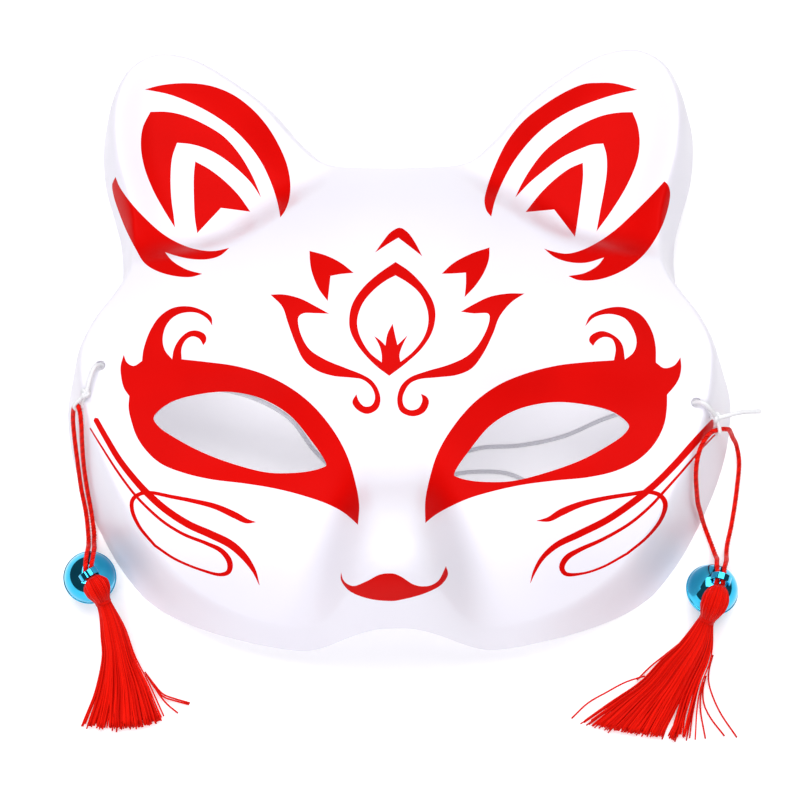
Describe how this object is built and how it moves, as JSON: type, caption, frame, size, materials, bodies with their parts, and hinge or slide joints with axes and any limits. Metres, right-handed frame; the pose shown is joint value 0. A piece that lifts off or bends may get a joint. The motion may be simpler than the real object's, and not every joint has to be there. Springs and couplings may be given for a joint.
{
  "type": "kitsune mask",
  "caption": "Half-face fox mask of thin formed plastic with ears, eye openings, printed pattern, elastic, jingle bells and tassels, lying face up.",
  "frame": {"origin": "on the resting plane, under the middle of the shell's outline seen from above", "axes": "+Z out of the face, which lies up; +Y towards the ears; +X to the viewer's right"},
  "size_m": [0.1874, 0.1951, 0.0597],
  "materials": {
    "shell_plastic": "satin white formed sheet with a flat red printed pattern",
    "elastic": "round woven elastic",
    "red_cord": "twisted silky cord",
    "bell_metal": "blue plated bright metal",
    "tassel_silk": "silky thread"
  },
  "bodies": {
    "root": {"mask_shell": "shell_plastic", "elastic_cord": "elastic", "elastic_knot_left": "elastic", "elastic_knot_right": "elastic", "tassel_loop_left": "red_cord", "tassel_loop_right": "red_cord", "bell_left": "bell_metal", "bell_right": "bell_metal", "tassel_left": "tassel_silk", "tassel_right": "tassel_silk", "tassel_binding_left": "tassel_silk", "tassel_binding_right": "tassel_silk"}
  },
  "joints": []
}
